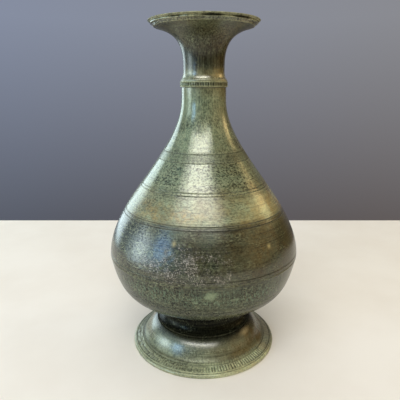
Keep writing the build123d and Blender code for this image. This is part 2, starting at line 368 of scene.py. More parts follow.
daylight, late_light = (1.0, 0.985, 0.94), (1.0, 0.975, 0.92)
soft_box("key_light", -11, 53.5, 1.6, (1.85, 0.42), 8.6, daylight)
soft_box("key_core", -11, 55, 1.55, (1.0, 0.34), 3.6, late_light)
soft_box("key_skirt", -8, 45, 1.5, (1.1, 0.36), 1.1, late_light)
soft_box("back_left_light", -135, 8, 1.3, (0.62, 0.80), 5.0, (0.78, 0.95, 1.0))
soft_box("pale_window", -80, 9, 1.5, (0.5, 0.6), 3.0, (0.80, 0.94, 1.0))
soft_box("blue_window", -53, 18, 1.5, (0.44, 0.60), 3.8, (0.34, 0.60, 1.0))
soft_box("gold_light", 108, 24, 1.3, (0.36, 0.34), 1.4, (1.0, 0.74, 0.36))
soft_box("warm_room", 75, 18, 1.6, (1.5, 1.1), 2.2, (1.0, 0.76, 0.40))
soft_box("top_fill", 180, 72, 2.2, (2.4, 1.6), 10, (1.0, 0.98, 0.95))
front_fill = soft_box("front_fill", -10, 40, 1.8, (1.4, 1.0), 8.5, daylight)
front_fill.visible_glossy = False

# %% [markdown]
# Tracing a turned section
#
# Every metal piece was spun on one axis, so half a cross section says all about its shape. It
# could be drawn again from numbers, but tracing it from the solid keeps the dressed piece exactly
# where the solid is. A copy of the mesh is cut by a plane through the axis and the cut edges are
# walked in order.

# %% Trace the half section of a solid
touch = 1e-6


def trace_section(node, angle=0.0):
    """Radius and height round one side of a turned solid, outside first running upwards."""
    copy = bmesh.new()
    copy.from_mesh(frame["nodes"][node].data)
    bmesh.ops.remove_doubles(copy, verts=copy.verts, dist=touch)
    across = Vector((-math.sin(angle), math.cos(angle), 0))
    outward = Vector((math.cos(angle), math.sin(angle), 0))
    parts = copy.verts[:] + copy.edges[:] + copy.faces[:]
    cut = bmesh.ops.bisect_plane(copy, geom=parts, dist=touch, plane_co=(0, 0, 0), plane_no=across)
    neighbours = {}
    for edge in cut["geom_cut"]:
        if isinstance(edge, bmesh.types.BMEdge) and all(v.co.dot(outward) > -touch for v in edge.verts):
            for here, there in (edge.verts, reversed(edge.verts)):
                neighbours.setdefault(here, []).append(there)
    ends = [v for v in neighbours if len(neighbours[v]) == 1]
    start = ends[0] if ends else next(iter(neighbours))
    walk, last = [start], None
    while True:
        ways = [v for v in neighbours[walk[-1]] if v is not last and v is not start]
        if not ways:
            break
        last = walk[-1]
        walk.append(ways[0])
    line = np.array([(v.co.dot(outward), v.co.z) for v in walk])
    copy.free()
    r, z = line.T
    if np.sum(r * np.roll(z, -1) - np.roll(r, -1) * z) < 0:
        line = line[::-1]
    return line, not ends


print("shoulder section points:", len(trace_section("shoulder_shell")[0]))

# %% [markdown]
# Smoothing the section
#
# The traced line has few points, enough for a solid but not for a gloss that shows every facet.
# A fillet tool could round it, but that would soften the cut lines too. Here each run between two
# corners is redrawn as one smooth curve with even steps, fine outside and coarser inside, and a
# close support row is left each side of a corner so that it stays crisp.


# %% A smooth curve through points
def distance_along(points):
    """Length of a line up to each of its points."""
    return np.concatenate([[0], np.cumsum(np.linalg.norm(np.diff(points, axis=0), axis=1))])


def curve_through(points, places):
    """Points at distances along a smooth curve through the given ones."""
    along = distance_along(points)
    if len(points) < 3:
        return np.stack([np.interp(places, along, points[:, k]) for k in (0, 1)], axis=1)
    lean = np.stack([np.gradient(points[:, k], along) for k in (0, 1)], axis=1)
    i = np.clip(np.searchsorted(along, places, side="right") - 1, 0, len(points) - 2)
    span = (along[i + 1] - along[i])[:, None]
    t = ((places - along[i]) / span[:, 0])[:, None]
    start = (2 * t**3 - 3 * t**2 + 1) * points[i] + (t**3 - 2 * t**2 + t) * span * lean[i]
    return start + (3 * t**2 - 2 * t**3) * points[i + 1] + (t**3 - t**2) * span * lean[i + 1]


bend = curve_through(np.array([[0.0, 0.0], [1.0, 0.2], [2.0, 0.0]]), np.array([0.5]))
print("0.5 along a bend:", bend.round(3).tolist())

# %% Redraw a section with even steps
corner_turn = math.radians(18)
support = 0.00012
steepest_fall_outside = -0.2


def smooth_section(line, closed, fine, coarse):
    """The section redrawn between its corners with steps of these lengths."""
    before = line - np.roll(line, 1, axis=0)
    after = np.roll(line, -1, axis=0) - line
    crossed = before[:, 0] * after[:, 1] - before[:, 1] * after[:, 0]
    sharp = np.abs(np.arctan2(crossed, np.sum(before * after, axis=1))) > corner_turn
    if not closed:
        sharp[[0, -1]] = True
    marks = list(np.flatnonzero(sharp))
    ends = marks[1:] + ([marks[0] + len(line)] if closed else [])
    redrawn = []
    for first, last in zip(marks, ends):
        run = line[np.arange(first, last + 1) % len(line)]
        length = distance_along(run)[-1]
        faces_out = run[-1, 1] - run[0, 1] > steepest_fall_outside * length
        steps = max(2, math.ceil(length / (fine if faces_out else coarse)))
        close = min(support, length / steps / 3)
        places = np.union1d(np.linspace(0, length, steps + 1), [close, length - close])
        redrawn.append(curve_through(run, places)[:-1])
    if not closed:
        redrawn.append(line[-1:])
    return np.concatenate(redrawn)


collar_count = 59
foot_count = 155
sections = {}
# Each solid, where to cut it between two notches, and its steps outside and inside.
for node, angle, fine, coarse in (
    ("rim_plate", 0, 0.0005, 0.0010),
    ("mouth_trumpet", 0, 0.0006, 0.0015),
    ("neck_collar", math.pi / collar_count, 0.00022, 0.0008),
    ("shoulder_shell", 0, 0.0014, 0.0040),
    ("bowl_shell", 0, 0.0008, 0.0030),
    ("foot_stem", 0, 0.0008, 0.0020),
    ("foot_dome", 0, 0.0006, 0.0020),
    ("foot_edge_ring", math.pi / foot_count, 0.00055, 0.0025),
):
    traced, closed = trace_section(node, angle)
    sections[node] = (smooth_section(traced, closed, fine, coarse), closed)
    print(node, "rows:", len(traced), "to", len(sections[node][0]))

# %% [markdown]
# Slopes and hollows
#
# A skin is pressed in along its slope, and age follows its relief: dirt stays in grooves and
# edges are rubbed bare. Blender's own Pointiness could tell grooves from edges, but it depends on
# how the mesh is divided, so both are measured once on the section.


# %% Slope and relief at each row
def row_normals(rows, closed):
    """Outward direction of the section at each row."""
    along = np.roll(rows, -1, axis=0) - np.roll(rows, 1, axis=0)
    if not closed:
        along[0], along[-1] = rows[1] - rows[0], rows[-1] - rows[-2]
    out = np.stack([along[:, 1], -along[:, 0]], axis=1)
    return out / np.linalg.norm(out, axis=1)[:, None]


def hollows(rows, closed, reach=0.0009, full=0.0003):
    """How far each row lies below its surroundings, and how far it stands proud, from 0 to 1."""
    line = np.concatenate([rows, rows[:1]]) if closed else rows
    along = distance_along(line)
    places = along[: len(rows)]
    sides = []
    for step in (-reach, reach):
        there = (places + step) % along[-1] if closed else np.clip(places + step, 0, along[-1])
        sides.append(np.stack([np.interp(there, along, line[:, k]) for k in (0, 1)], axis=1))
    proud = np.sum((rows - (sides[0] + sides[1]) / 2) * row_normals(rows, closed), axis=1)
    return np.clip(-proud / full, 0, 1), np.clip(proud / full, 0, 1)


print("collar rows below the rest:", int(np.sum(hollows(*sections["neck_collar"])[0] > 0.5)))

# %% [markdown]
# Spinning a section
#
# A Screw modifier would spin the section, but a hand-finished bottle is never quite true. The
# rows are spun in code instead, so that each point can be pressed in, or here and there drawn
# out, on its way round. Heights never leave those of the solids.


# %% What is known at every point
def lay_out(node, segments):
    """Angle, place, slope and relief of a spun section, in rows by segments."""
    rows, closed = sections[node]
    normals = row_normals(rows, closed)
    hollow, proud = hollows(rows, closed)
    front = (np.arange(segments) + 0.5) * 2 * math.pi / segments - math.pi
    spread = np.ones((len(rows), segments))
    return {
        "front": front[None, :] * spread,
        "r": rows[:, :1] * spread,
        "z": rows[:, 1:] * spread,
        "out": normals[:, :1] * spread,
        "up": normals[:, 1:] * spread,
        "hollow": hollow[:, None] * spread,
        "proud": proud[:, None] * spread,
        "notch": 0 * spread,
    }


print("points of the stem:", lay_out("foot_stem", 360)["z"].size)


# %% Spin a section into a piece
def skin_faces(index, closed):
    """Faces between neighbouring rows. A row that is one point makes triangles."""
    low, high = index[:-1], index[1:]
    if closed:
        low, high = index, np.roll(index, -1, axis=0)
    quads = np.stack([low, np.roll(low, -1, 1), np.roll(high, -1, 1), high], axis=2)
    return [list(dict.fromkeys(quad)) for quad in quads.reshape(-1, 4).tolist()]


def turn_piece(name, node, segments, press):
    """Spins a node's section into a mesh. Returns the piece and what is known at its points."""
    known, closed = lay_out(node, segments), sections[node][1]
    depth = press(known)
    r = known["r"] - known["out"] * depth
    z = np.clip(known["z"] - known["up"] * depth, cad_low.z, cad_high.z)
    points = np.stack([r * np.sin(known["front"]), -r * np.cos(known["front"]), z], axis=2)
    index = np.arange(z.size).reshape(z.shape)
    if not closed:
        index[0], index[-1] = index[0, 0], index[-1, 0]
    used = np.unique(index)
    number = np.zeros(index.max() + 1, int)
    number[used] = np.arange(len(used))
    mesh = bpy.data.meshes.new(name)
    mesh.from_pydata(points.reshape(-1, 3)[used].tolist(), [], skin_faces(number[index], closed))
    mesh.polygons.foreach_set("use_smooth", [True] * len(mesh.polygons))
    piece = bpy.data.objects.new(name, mesh)
    bpy.context.scene.collection.objects.link(piece)
    print(name, "faces:", len(mesh.polygons))
    return piece, {key: value.reshape(-1)[used] for key, value in known.items()}


pieces = {}

# %% [markdown]
# Hand work and age
#
# The wall was raised and turned by hand, so a reflection on it wavers slightly. A noise modifier
# would move each piece by itself and open the seams. Slow waves drawn from a fixed seed run over
# every piece alike instead, and press the outside in by about a tenth of a millimetre, so
# neighbours still meet.

# %% Slow waves in the wall
chance = np.random.default_rng(11)
waves = [
    (int(chance.integers(1, 8)), chance.uniform(-170, 170), chance.uniform(0, 2 * math.pi))
    for _ in range(14)
]


def wavering(front, z):
    """Slow unevenness from 0 to 1 over the whole bottle."""
    total = sum(np.cos(turns * front + rise * z + phase) for turns, rise, phase in waves)
    return np.clip(0.5 + total / len(waves), 0, 1)


sample = wavering(np.linspace(-3, 3, 200), np.linspace(0.05, 0.25, 200))
print("waves from", round(float(sample.min()), 2), "to", round(float(sample.max()), 2))

# %% [markdown]
# Fades
#
# Nothing on an old bottle starts or stops at once. Vertex groups could be weighted by hand, but a
# few small functions say where a mark fades in, where it fades out and which way it faces.


# %% Shares that fade in and out
def rising(value, start, over):
    """None at the start, full a stretch further on."""
    return np.clip((value - start) / over, 0, 1)


def falling(value, end, over):
    """Full until a stretch before the end, none at the end."""
    return np.clip((end - value) / over, 0, 1)


def close_to(value, middle, half, full=1.5):
    """Full round a middle value, none further off. A full above 1 gives it a flat top."""
    return np.clip(full - np.abs(value - middle) / half, 0, 1)


def turn_between(front, other):
    """Difference of two angles, the short way round."""
    return (front - other + math.pi) % (2 * math.pi) - math.pi


def outside(known):
    """Full on skins that face away from the axis, none inside the bottle."""
    return rising(known["out"], 0, 0.25)


print("a fade in four steps:", falling(np.arange(4), 3, 2).tolist())

# %% [markdown]
# Pits
#
# Where damp sat on the belly, the metal was eaten into shallow pits. They could be bump only, but
# real hollows catch the light on their rims, so they are pressed into the mesh at scattered
# places inside a soft patch.


# %% Scatter pits inside a patch
def direction_of(place):
    """Angle round the axis from the camera's side."""
    return math.atan2(place.x, -place.y)


def scatter_pits(seed, column, row, wide, tall, count, widest, deepest):
    """Pits as angle, height, radius and depth, about the metal under a pixel."""
    dice = np.random.default_rng(seed)
    middle = seen_at(column, row)
    r = math.hypot(middle.x, middle.y)
    fronts = direction_of(middle) + dice.normal(0, wide / r, count)
    heights = middle.z + dice.normal(0, tall, count)
    sizes = widest * dice.uniform(0.4, 1.0, count)
    return np.stack([fronts, heights, sizes, deepest * dice.uniform(0.3, 1.0, count)], axis=1)


def press_pits(known, pits):
    """Depth of all pits at each point."""
    depth = np.zeros_like(known["z"])
    rise = np.sqrt(np.clip(1 - known["up"] ** 2, 0.15, 1))
    for front, height, size, deep in pits:
        near = np.abs(known["z"][:, 0] - height) < 3 * size
        across = known["r"][near] * turn_between(known["front"][near], front)
        climb = (known["z"][near] - height) / rise[near]
        depth[near] = np.maximum(depth[near], deep * np.exp(-(across**2 + climb**2) / size**2))
    return depth


# Seed, column and row in the picture, spread across and up in m, count, widest and deepest in m.
crust_pit_patches = (
    (3, 188, 268, 0.020, 0.006, 170, 0.0016, 0.00030),
    (4, 150, 268, 0.016, 0.006, 90, 0.0014, 0.00025),
    (5, 208, 278, 0.012, 0.004, 70, 0.0015, 0.00030),
)
flare_pit_patch = (6, 194, 26, 0.0045, 0.0022, 60, 0.0009, 0.00035)
crust_pits = np.concatenate([scatter_pits(*patch) for patch in crust_pit_patches])
flare_pits = scatter_pits(*flare_pit_patch)
print("pits:", len(crust_pits) + len(flare_pits))

# %% [markdown]
# Shoulder and bowl
#
# These two shells are the body. Both get the slow waves and the pits. The cut lines are in the
# traced sections already, and a bevelled curve laid over them could not follow the wall so
# closely. A graver held by hand does not cut evenly, so each line is filled up again a little at
# some places round the bottle.

# %% Press the body's skin
body_wave = 0.00022
line_fill = 0.00016


def press_body(known):
    """Waves, pits and uneven line cutting on the shoulder and the bowl."""
    depth = body_wave * wavering(known["front"], known["z"])
    depth += press_pits(known, crust_pits)
    uneven = wavering(3 * known["front"], 90 * known["z"])
    return (depth - line_fill * known["hollow"] * uneven) * outside(known)


pieces["shoulder_shell"] = turn_piece("shoulder", "shoulder_shell", 380, press_body)
pieces["bowl_shell"] = turn_piece("bowl", "bowl_shell", 520, press_body)

# %% [markdown]
# Sprung seam at the mouth
#
# The mouth flares to a lip that leans out and carries a flat plate. The seam between them has
# sprung open, widest at the front right. A dark line could be painted there, but a real gap holds
# a real shadow, so a few gapes are placed by angle, each with its own width and share.

# %% Where the seam gapes
rim_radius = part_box("rim_plate")[1].x
# Middle and half width in degrees from the camera's side, and how far it opens.
gapes = ((8, 13, 1.0), (41, 16, 0.8), (-30, 12, 0.35), (150, 25, 0.6), (-120, 18, 0.5))


def gaping(front):
    """How far the seam under the plate has sprung open: shut at 0, wide from 1 up."""
    opened = np.zeros_like(front)
    for middle, half, share in gapes:
        away = np.abs(turn_between(front, math.radians(middle))) / math.radians(half)
        opened = np.maximum(opened, share * np.clip(1.6 * (1 - away), 0, 1))
    return opened * (0.75 + 0.5 * wavering(9 * front, 0 * front))


print("gape at the front:", round(float(gaping(np.array([0.1]))[0]), 2))

# %% [markdown]
# Rim plate
#
# The plate is a thin flat ring whose edge has been knocked about. A boolean cut for each nick
# would be slow to place. Two sets of quick waves, cut off below a level, leave scattered coarse
# and fine nicks, and the underside is lifted where the seam gapes.

# %% Nicked plate
plate_edge, plate_edge_fade = 0.004, 0.003
nick_level, nick_depth = 0.55, 0.0010
fine_nick_level, fine_nick_depth = 0.6, 0.0006
plate_lift = 0.0006


def press_plate(known):
    """Nicks along the plate's edge and a lifted underside where the seam gapes."""
    nick = rising(wavering(11 * known["front"], 40 + 0 * known["z"]), nick_level, 1)
    fine_nick = rising(wavering(37 * known["front"], 20 * known["z"]), fine_nick_level, 1)
    edge = rising(known["r"] - rim_radius, -plate_edge, plate_edge_fade)
    depth = edge * outside(known) * (nick_depth * nick + fine_nick_depth * fine_nick)
    under = np.clip(-known["up"], 0, 1) * edge
    return depth + plate_lift * gaping(known["front"]) * under


pieces["rim_plate"] = turn_piece("rim", "rim_plate", 600, press_plate)

# %% [markdown]
# Mouth
#
# The mouth is a trumpet, gritty just under the plate. Its lip meets the plate, so it is drawn up
# to close the seam and dropped where the seam gapes. The hollow curve above the collar is slightly
# fuller than in the solid. Sculpting could do this, but a few fades keep it even all the way round.

# %% Press the trumpet's skin
mouth_wave = 0.00018
lip_inner, lip_inner_fade = 0.0438, 0.0008
lip_bottom, lip_bottom_fade = 0.2966, 0.001
lip_rise, lip_drop = 0.0009, 0.0017
cove_foot, cove_foot_fade = 0.2505, 0.0008
cove_top, cove_top_fade = 0.2590, 0.0075
cove_fill = 0.0008


def press_trumpet(known):
    """Waves, gritty pits below the rim, a lip that drops at the gapes and a fuller cove."""
    r, z, skin = known["r"], known["z"], outside(known)
    depth = mouth_wave * wavering(known["front"], z) * skin
    depth += press_pits(known, flare_pits) * skin
    lip = rising(r, lip_inner, lip_inner_fade) * rising(z, lip_bottom, lip_bottom_fade)
    cove = falling(z, cove_top, cove_top_fade) ** 2 * rising(z, cove_foot, cove_foot_fade)
    lowered = (lip_drop * gaping(known["front"]) - lip_rise) * lip
    return depth + lowered - cove_fill * cove * skin


pieces["mouth_trumpet"] = turn_piece("mouth", "mouth_trumpet", 400, press_trumpet)

# %% [markdown]
# Notched collar
#
# The collar is two plain wires with a row of small notches between them, struck one by one with a
# chisel. Array copies would all be alike. Here every notch has its own depth and a slight slip
# from its place, as hand striking leaves them.


# %% Chisel notches round a band
def chisel(known, count, width, seed):
    """A row of struck notches from 0 to 1, each a little different."""
    dice = np.random.default_rng(seed)
    strength = dice.uniform(0.65, 1.0, count)
    slip = dice.uniform(-0.09, 0.09, count)
    place = (known["front"] - math.pi / 2) / (2 * math.pi) * count
    which = np.round(place).astype(int) % count
    away = np.abs(place - np.round(place) - slip[which])
    return strength[which] * np.clip(1 - 2 * away / width, 0, 1)


collar_low, collar_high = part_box("neck_collar")
collar_middle = (collar_low.z + collar_high.z) / 2
collar_wire, collar_fade = 0.0009, 0.0002
collar_notch, collar_notch_width, collar_seed = 0.00070, 0.85, 21
collar_wave = 0.00008


def press_collar(known):
    """Notches between the collar's two wires."""
    skin = outside(known)
    half = (collar_high.z - collar_low.z) / 2 - collar_wire
    band = falling(np.abs(known["z"] - collar_middle), half, collar_fade)
    known["notch"] = band * skin * chisel(known, collar_count, collar_notch_width, collar_seed)
    uneven = wavering(6 * known["front"], known["z"])
    return collar_notch * known["notch"] + collar_wave * uneven * skin


pieces["neck_collar"] = turn_piece("collar", "neck_collar", collar_count * 12, press_collar)

# %% [markdown]
# Notched foot edge
#
# The foot's heavy edge ring has a notched slope. The strokes are long and hard at the front
# right, shorter elsewhere, and worn nearly away at both sides, where hands lift the bottle. One
# carved notch repeated by a modifier could not change like that, so the same chisel is used with
# fades round the ring.

# %% Foot edge with its notched slope
band_outer, band_inner, band_fade = 0.0669, 0.0613, 0.0003
short_by = 0.0024
edge_notch, edge_notch_width, foot_seed = 0.00055, 0.70, 22
facing_up, facing_up_fade = 0.3, 0.2
edge_wear, wear_level, wear_bottom = 0.0006, 0.5, 0.001


def long_strokes(known):
    """Full at the front right, where the chisel was struck harder."""
    away = np.abs(turn_between(known["front"], math.radians(33)))
    return falling(away, math.radians(36), math.radians(12))


def worn_sides(known):
    """Full at the left and right, where hands have worn the strokes away."""
    return rising(np.abs(np.sin(known["front"])), 0.78, 0.12)


def press_edge(known):
    """Notches on the sloping band, and an edge worn uneven."""
    hard = long_strokes(known)
    start = band_inner + short_by * (1 - hard)
    band = rising(known["r"], start, band_fade) * falling(known["r"], band_outer, band_fade)
    top = rising(known["up"], facing_up, facing_up_fade)
    struck = (0.6 + 0.4 * hard) * (1 - 0.85 * worn_sides(known))
    known["notch"] = band * top * chisel(known, foot_count, edge_notch_width, foot_seed) * struck
    worn = rising(wavering(9 * known["front"], 30 * known["z"]), wear_level, 1)
    lifted = rising(known["z"], 0, wear_bottom)
    return edge_notch * known["notch"] + edge_wear * worn * outside(known) * lifted


pieces["foot_edge_ring"] = turn_piece("foot_edge", "foot_edge_ring", foot_count * 8, press_edge)

# %% [markdown]
# Stem and dome
#
# The stem hides in the belly's shadow, and the dome spreads from it like a bell. The longest
# strokes of the edge ring run up onto the dome, so they use the same seed and fall in line. The
# dome could stop short of the ring as in the solids, but its lower edge is drawn out a little so
# that no bright gap shows.

# %% Stem and dome of the foot
foot_wave = 0.00012
dome_notch, dome_notch_width = 0.00040, 0.55
dome_notch_start, dome_notch_fade = 0.0580, 0.0012
seam_fill, seam_radius = 0.0006, 0.055
seam_top, seam_fade = 0.0090, 0.0006


def press_foot(known):
    """Slow waves, and the ends of the long chisel strokes on the dome's lower edge."""
    r, z, skin = known["r"], known["z"], outside(known)
    struck = 0.5 * long_strokes(known) * (1 - worn_sides(known))
    low = rising(r, dome_notch_start, dome_notch_fade) * skin
    known["notch"] = low * chisel(known, foot_count, dome_notch_width, foot_seed) * struck
    filled = np.where(r > seam_radius, falling(z, seam_top, seam_fade), 0) * skin
    depth = foot_wave * wavering(known["front"], z) * skin
    return depth + dome_notch * known["notch"] - seam_fill * filled


pieces["foot_stem"] = turn_piece("stem", "foot_stem", 360, press_foot)
pieces["foot_dome"] = turn_piece("dome", "foot_dome", foot_count * 5, press_foot)

# %% [markdown]
# Patina, light and shade by height
#
# Patina differs from place to place: pale between the cut lines and brown on the belly. The tone also
# carries painted shade and light: the stem is nearly black as shade under the belly, a dark ring lies
# round the stem's foot, bands under the collar and under the mouth's flare are darker, and the curve
# just above the collar is lighter as a painted highlight. Most of it changes with height, because the
# bottle was turned and rubbed going round. A colour ramp could hold it, but the neck and the foot need
# their own steps, so each quality is a short list of heights in millimetres with a value at each.

# %% Tone with painted light and shade, and warmth by height
# Painted highlight: lighter on the curve just above the collar, 251 to 256 mm.
# Painted shade: darker just under the collar, 241 to 245 mm, and under the mouth's flare, 260 to 292
# mm.
# Painted shade: near black on the stem, 25 to 51 mm, and a dark ring round its foot, 22.5 to 25 mm.
# The collar's wires, 246 to 247.2 and 249.6 to 251 mm, are lighter as worn metal and painted highlight.
tone_by_height = (
    (0, 3.5), (7, 3.3), (9, 1.75), (19, 1.45), (22.5, 0.6), (25, 0.03), (51, 0.03), (54, 0.52),
    (66, 0.66), (80, 0.66), (94, 0.60), (112, 0.56), (126, 0.56), (133, 0.7), (138, 0.9),
    (140, 1.2), (142.5, 2.1), (152, 2.1), (164, 1.9), (184, 1.8), (186, 1.4), (192, 1.4),
    (194, 1.7), (215, 1.95), (228, 1.9), (236, 2.0), (241, 1.7), (245, 1.35), (246, 2.4),
    (247.2, 2.4), (247.6, 1.9), (249.2, 1.9), (249.6, 2.9), (251, 2.9), (252.5, 2.4), (256, 1.9),
    (260, 0.8), (263, 0.25), (272, 0.18), (280, 0.40), (292, 0.70), (295, 1.0), (300, 1.1),
)
warm_by_height = (
    (0, 0.15), (25, 0.1), (52, 0.05), (90, 0.15), (98, 0.50), (130, 0.50), (138, 0.45), (160, 0.35),
    (172, 0.05), (236, 0.0), (244, 0.35), (252, 0.40), (262, 0.70), (290, 0.65), (300, 0.35),
)


def by_height(z, table):
    """A value read off a list of heights in mm."""
    heights, shares = zip(*table)
    return np.interp(1000 * z, heights, shares)


print("tone at the belly:", round(float(by_height(np.array([0.1]), tone_by_height)[0]), 2))

# %% Gloss by height
dull_by_height = (
    (0, 0.7), (9, 0.75), (14, 0.65), (20, 0.5), (24, 0.5), (25, 0.4), (50, 0.4), (56, 0.6),
    (96, 0.45), (122, 0.45), (134, 0.45), (138, 0.6), (158, 0.5), (164, 0.30), (184, 0.22),
    (185.5, 0.7), (192.5, 0.7), (194, 0.15), (212, 0.22), (225, 0.2), (245, 0.1), (250, 0.6),
    (252, 0.45), (259, 0.45), (263, 0.6), (268, 0.4), (290, 0.7), (300, 0.7),
)
wax_by_height = (
    (0, 0.5), (8, 0.3), (9, 0.18), (13, 0.22), (16, 0.62), (22, 0.7), (25, 0.03), (51, 0.03),
    (54, 0.14), (60, 0.16), (92, 0.24), (104, 0.40), (125, 0.44), (137, 0.46), (140, 0.40),
    (158, 0.46), (164, 0.52), (184, 0.52), (185.5, 0.36), (192.5, 0.36), (194, 0.43), (248, 0.55),
    (252, 1.0), (256, 0.7), (259, 0.35), (264, 0.18), (294, 0.18), (296, 0.45), (300, 0.45),
)
print("wax on the cone:", round(float(by_height(np.array([0.2]), wax_by_height)[0]), 2))

# %% Marks, dirt and painted collar shadow by height
scored_by_height = (
    (56, 0.5), (92, 0.6), (100, 1), (138, 1), (141, 0.5), (160, 0.4), (166, 0.15), (200, 0),
)
strokes_by_height = ((60, 0.5), (90, 0.3), (96, 0.0), (165, 0.1), (190, 0.6), (215, 0.9), (300, 1.0))
bare_by_height = ((0, 1), (5.5, 1), (6, 0.2), (52, 0.0), (60, 0.3), (240, 0.3), (245, 1), (300, 1))
cut_by_height = ((0, 0.6), (5, 0.6), (6, 0.1), (10, 0.05), (50, 0.4), (60, 0.8), (100, 1), (300, 1))
grit_by_height = (
    (0, 0.5), (9, 0.5), (12, 0.4), (24, 0.35), (52, 0.9), (60, 1.0), (96, 0.9), (104, 0.8),
    (136, 0.8), (139, 0.7), (141, 0.45), (150, 0.5), (158, 0.7), (168, 1.1), (184, 1.1),
    (186, 0.7), (192, 0.7), (194, 0.8), (215, 0.8), (228, 0.5), (243, 0.5), (252, 0.5), (270, 0.4),
    (283, 1.0), (297, 1.4), (300, 0.8),
)
# Painted shadow: lines just under and above the collar, and a faint shade on its notched band.
collar_shadow_by_height = (
    (244.6, 0), (245.3, 0.7), (246.0, 0.8), (246.3, 0), (247.1, 0), (247.3, 0.2), (249.3, 0.2),
    (249.5, 0), (250.3, 0), (250.6, 0.4), (251.1, 0.4), (252.0, 0),
)
print("grit under the rim:", round(float(by_height(np.array([0.297]), grit_by_height)[0]), 2))

# %% [markdown]
# Stains in their places
#
# Crust, ochre stains, green bloom and pale specks lie where the picture shows them, and one ochre patch
# paints a warm glow on the dome. Decals could carry them, but their edges would show. Each stain is a
# soft oval on the metal under a pixel, and the noise of the finish breaks up its edge.

# %% Soft patches where the picture shows them
# Column and row in the picture, half width and half height in mm, and a strength if it is not 1.
crust_spots = (
    (190, 262, 28, 11, 0.9),
    (150, 267, 18, 7),
    (212, 280, 24, 7, 0.75),
    (176, 276, 26, 7, 0.9),
)
ochre_spots = (
    (152, 212, 22, 9),
    (180, 216, 20, 5),
    (262, 246, 12, 14),
    (224, 40, 8, 22),
    (218, 66, 5, 12),
    (250, 19, 7, 4),
    # Painted warm glow on the dome's right, laid on as an ochre patch.
    (247, 327, 8, 5),
)
green_spots = ((211, 297, 8.0, 5.8, 0.70), (195, 303, 3.5, 2.8, 0.6), (236, 300, 8, 2.5, 0.55))
pale_specks = ((174, 244, 1.3, 1.8), (269, 246, 1.5, 1.5))
streak_spots = ((150, 292, 40, 9), (205, 300, 40, 8), (255, 296, 30, 8))
polished_spots = ((226, 127, 8, 9),)


def patch(known, column, row, wide, tall, strength=1.0):
    """A soft oval on the metal under a pixel, half sizes in mm."""
    middle = seen_at(column, row)
    across = known["r"] * turn_between(known["front"], direction_of(middle)) / (wide / 1000)
    climb = (known["z"] - middle.z) / (tall / 1000)
    return strength * np.exp(-(across**2 + climb**2))


def spots(known, places):
    """The strongest of several soft patches."""
    return np.max([patch(known, *place) for place in places], axis=0)


bowl_bloom = spots(pieces["bowl_shell"][1], green_spots)
print("strongest bloom on the bowl:", round(float(bowl_bloom.max()), 2))

# %% [markdown]
# Sides and stretches
#
# Hands, damp and wax have treated the two sides of the bottle differently, and each stretch of it too,
# and some places also carry painted light and shade, as light falls differently on each side. Masks
# could be painted with a brush, but named places made from fades can be mixed, read and corrected one
# by one.

# %% Named places on a piece
# Bottom and top in mm, each followed by the length over which the place fades in or out.
stretches = {
    "slope": (3, 1, 13, 2),
    "dome": (8, 2, 30, 4),
    "belly": (50, 4, 140, 4),
    "cone": (156, 8, 250, 8),
    "neck": (205, 10, 248, 12),
    "flare": (258, 6, 290, 12),
}


def stretch_of(z, bottom, fade_in, top, fade_out):
    """Full between two heights in mm, fading at both ends."""
    return rising(1000 * z, bottom, fade_in) * falling(1000 * z, top, fade_out)


def facing(front, middle, half):
    """Full towards an angle in degrees, fading out over as many to each side."""
    away = np.abs(turn_between(front, math.radians(middle)))
    return falling(away / math.radians(half), 1, 1)


def soft_places(known):
    """Named places on a piece, each a share from 0 to 1 at every point."""
    front, r, z = known["front"], known["r"], known["z"]
    at = SimpleNamespace(**{name: stretch_of(z, *ends) for name, ends in stretches.items()})
    at.right = np.clip(np.sin(front), 0, 1)
    at.left = np.clip(-np.sin(front), 0, 1)
    # The inside, painted darker as shade.
    at.inner = rising(-known["out"], 0, 0.25) * falling(z, 0.29, 0.005)
    at.foot = falling(z, 0.010, 0.002)
    at.dotted = at.slope * facing(front, -33, 24) * close_to(r, 0.0620, 0.0016)
    at.upper = at.belly * rising(z, 0.088, 0.012)
    at.lower = at.belly - at.upper
    at.olive = close_to(z, 0.150, 0.012, 1)
    # The cone's right: painted darker, and duller and less waxed.
    at.cone_right = at.right**2 * at.cone * (1 - spots(known, polished_spots))
    # The neck's front left: less wax, and painted darker as shade.
    at.rubbed_off = at.neck * facing(front, -45, 28)
    at.rim_left = at.left**3 * rising(z, 0.2940, 0.002)
    # Painted highlight: a pale line along the rim plate's top edge, in bare-metal colour.
    at.rim_top = rising(z, 0.2990, 0.0006) * rising(r - rim_radius, -0.003, 0.001)
    return at


print("places:", sorted(vars(soft_places(pieces["foot_stem"][1]))))

# %% [markdown]
# Dark lines
#
# Dirt sits in the cut lines and in the notches. Beside the collar's wires, in the open seam under the
# plate and in the foot's grooves at its sides, the darkening is painted shade. Ambient occlusion could
# darken hollows, but it does not know which were wiped clean, so each kind of line has its own share.

# %% Dirt in the lines and notches, painted shade beside them
dome_groove, groove_half = 0.0093, 0.0008
rim_seam, seam_half, seam_inner = 0.2980, 0.0005, 0.0430
outer_line, inner_line, line_half = 0.0670, 0.0640, 0.0005
lip_height = 0.2945


def painted_shade_lines(known, at):
    """Painted shade beside the collar's wires, in the open seam and in the foot's side grooves."""
    front, r, z, skin = known["front"], known["r"], known["z"], outside(known)
    shade_share = by_height(z, collar_shadow_by_height) * skin
    groove = close_to(z, dome_groove, groove_half, 1.6) * np.clip(1.5 * at.left, 0, 1)
    shade_share = shade_share + 0.25 * groove * skin
    shade_share = shade_share + 0.95 * close_to(z, rim_seam, seam_half) * (r > seam_inner) * gaping(front)
    side = at.slope * rising(np.abs(np.sin(front)), 0.55, 0.25)
    shade_share = shade_share + 0.50 * side * close_to(r, outer_line, line_half)
    return shade_share + 0.45 * side * (at.left > 0) * close_to(r, inner_line, line_half)


